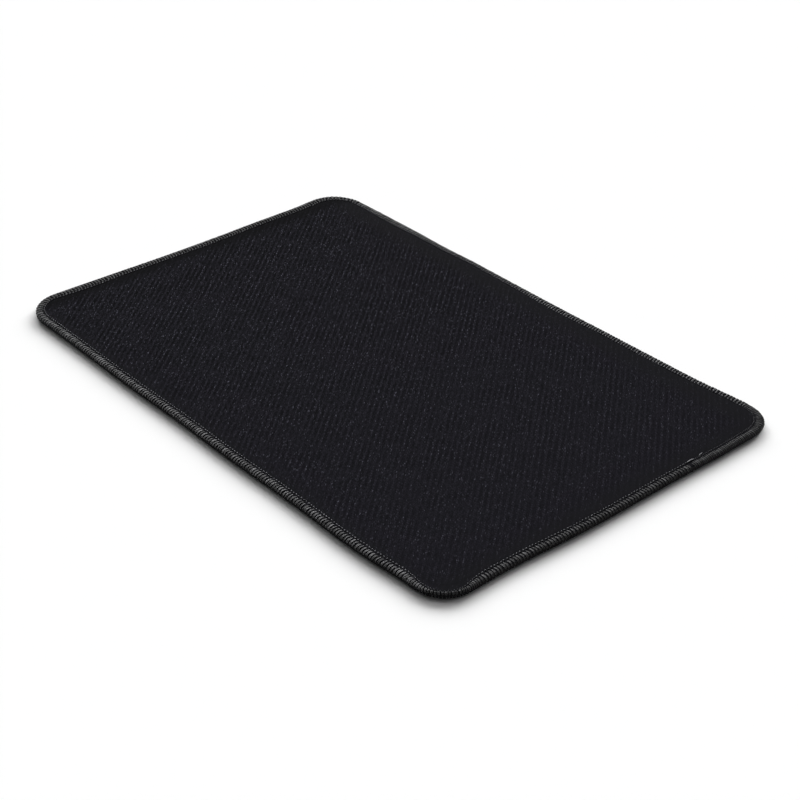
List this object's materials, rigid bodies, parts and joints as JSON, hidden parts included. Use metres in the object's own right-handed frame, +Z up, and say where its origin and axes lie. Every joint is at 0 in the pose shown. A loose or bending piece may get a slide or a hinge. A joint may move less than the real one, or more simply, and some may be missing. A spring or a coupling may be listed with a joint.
{
  "type": "mouse pad",
  "caption": "Flat rectangular mouse pad with rounded corners: a cloth face on a foam rubber base, its edge wrapped in overlock stitching.",
  "frame": {"origin": "middle of the rubber underside, on the surface that the pad lies on", "axes": "+Z up out of the cloth face, +X along the long side, +Y along the short side"},
  "size_m": [0.3, 0.195, 0.0037],
  "materials": {
    "rubber": "matt foam rubber with a fine anti-slip texture underneath",
    "film": "thin hot-melt adhesive film",
    "cloth": "black polyester twill, matt with a faint sheen",
    "thread": "dark grey textured polyester sewing thread"
  },
  "bodies": {
    "root": {"rubber_base": "rubber", "adhesive_film": "film", "cloth_top": "cloth", "upper_looper_thread": "thread", "lower_looper_thread": "thread", "needle_thread": "thread"}
  },
  "joints": []
}
